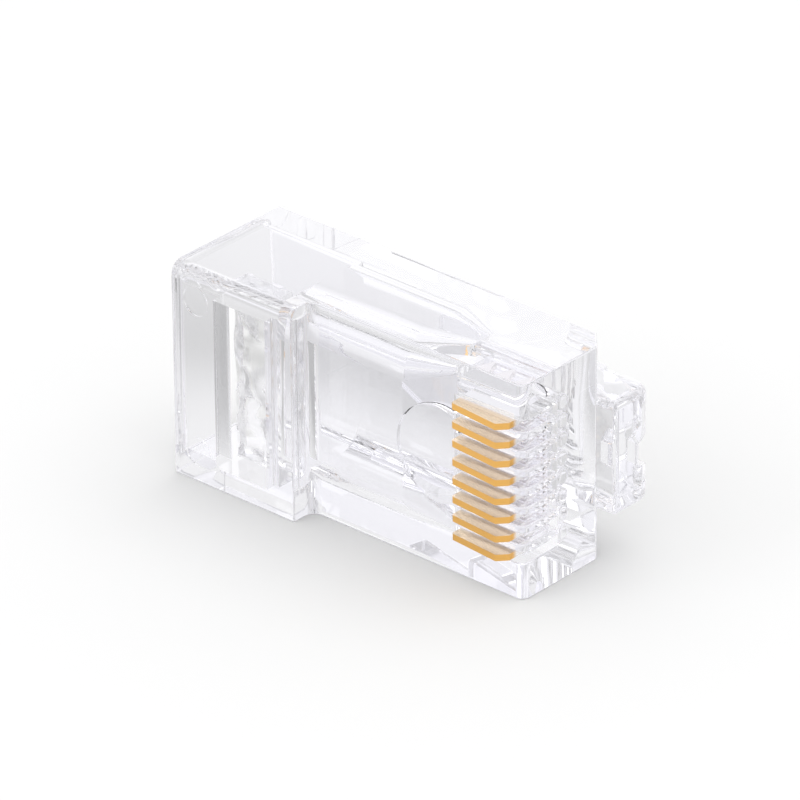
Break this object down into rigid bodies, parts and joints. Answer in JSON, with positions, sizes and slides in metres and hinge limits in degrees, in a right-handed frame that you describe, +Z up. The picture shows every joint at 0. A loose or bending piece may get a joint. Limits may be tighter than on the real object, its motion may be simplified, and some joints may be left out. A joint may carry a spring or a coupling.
{
  "type": "rj45 modular plug",
  "caption": "Clear modular plug with a sprung latch, a row of insulation-piercing contacts and a strain relief bar, for crimping onto round data cable.",
  "frame": {"origin": "on the narrow side that the plug stands on, half way along the body and midway between its contact face and its latch face", "axes": "+X from the cable entry to the nose, -Y the contact side, +Y the latch side, +Z up across the row of contacts"},
  "size_m": [0.0226, 0.0122, 0.0117],
  "materials": {
    "clear_plastic": "glossy clear polycarbonate",
    "bar_plastic": "clear polycarbonate with a rippled skin",
    "gold_contact": "gold plate over phosphor bronze, satin"
  },
  "bodies": {
    "housing": {"housing": "clear_plastic"},
    "latch": {"latch": "clear_plastic"},
    "strain_relief_bar": {"strain_relief_bar": "bar_plastic"},
    "contact_1": {"contact_1": "gold_contact"},
    "contact_2": {"contact_2": "gold_contact"},
    "contact_3": {"contact_3": "gold_contact"},
    "contact_4": {"contact_4": "gold_contact"},
    "contact_5": {"contact_5": "gold_contact"},
    "contact_6": {"contact_6": "gold_contact"},
    "contact_7": {"contact_7": "gold_contact"},
    "contact_8": {"contact_8": "gold_contact"}
  },
  "joints": [
    {"name": "latch_press", "type": "hinge", "parent": "housing", "child": "latch", "pos_m": [0.00877, 0.00445, 0.00584], "axis": [0, 0, 1], "range_deg": [0, 13], "stiffness_Nm_per_rad": 0.25},
    {"name": "strain_relief_crimp", "type": "hinge", "parent": "housing", "child": "strain_relief_bar", "pos_m": [-0.00797, -0.0039, 0.00584], "axis": [0, 0, 1], "range_deg": [0, 28]},
    {"name": "contact_1_crimp", "type": "slide", "parent": "housing", "child": "contact_1", "axis": [0, 1, 0], "range_m": [0, 0.0011]},
    {"name": "contact_2_crimp", "type": "slide", "parent": "housing", "child": "contact_2", "axis": [0, 1, 0], "range_m": [0, 0.0011]},
    {"name": "contact_3_crimp", "type": "slide", "parent": "housing", "child": "contact_3", "axis": [0, 1, 0], "range_m": [0, 0.0011]},
    {"name": "contact_4_crimp", "type": "slide", "parent": "housing", "child": "contact_4", "axis": [0, 1, 0], "range_m": [0, 0.0011]},
    {"name": "contact_5_crimp", "type": "slide", "parent": "housing", "child": "contact_5", "axis": [0, 1, 0], "range_m": [0, 0.0011]},
    {"name": "contact_6_crimp", "type": "slide", "parent": "housing", "child": "contact_6", "axis": [0, 1, 0], "range_m": [0, 0.0011]},
    {"name": "contact_7_crimp", "type": "slide", "parent": "housing", "child": "contact_7", "axis": [0, 1, 0], "range_m": [0, 0.0011]},
    {"name": "contact_8_crimp", "type": "slide", "parent": "housing", "child": "contact_8", "axis": [0, 1, 0], "range_m": [0, 0.0011]}
  ],
  "couplings": [
    {"joint": "contact_2_crimp", "follows": "contact_1_crimp", "ratio": 1},
    {"joint": "contact_3_crimp", "follows": "contact_1_crimp", "ratio": 1},
    {"joint": "contact_4_crimp", "follows": "contact_1_crimp", "ratio": 1},
    {"joint": "contact_5_crimp", "follows": "contact_1_crimp", "ratio": 1},
    {"joint": "contact_6_crimp", "follows": "contact_1_crimp", "ratio": 1},
    {"joint": "contact_7_crimp", "follows": "contact_1_crimp", "ratio": 1},
    {"joint": "contact_8_crimp", "follows": "contact_1_crimp", "ratio": 1}
  ]
}
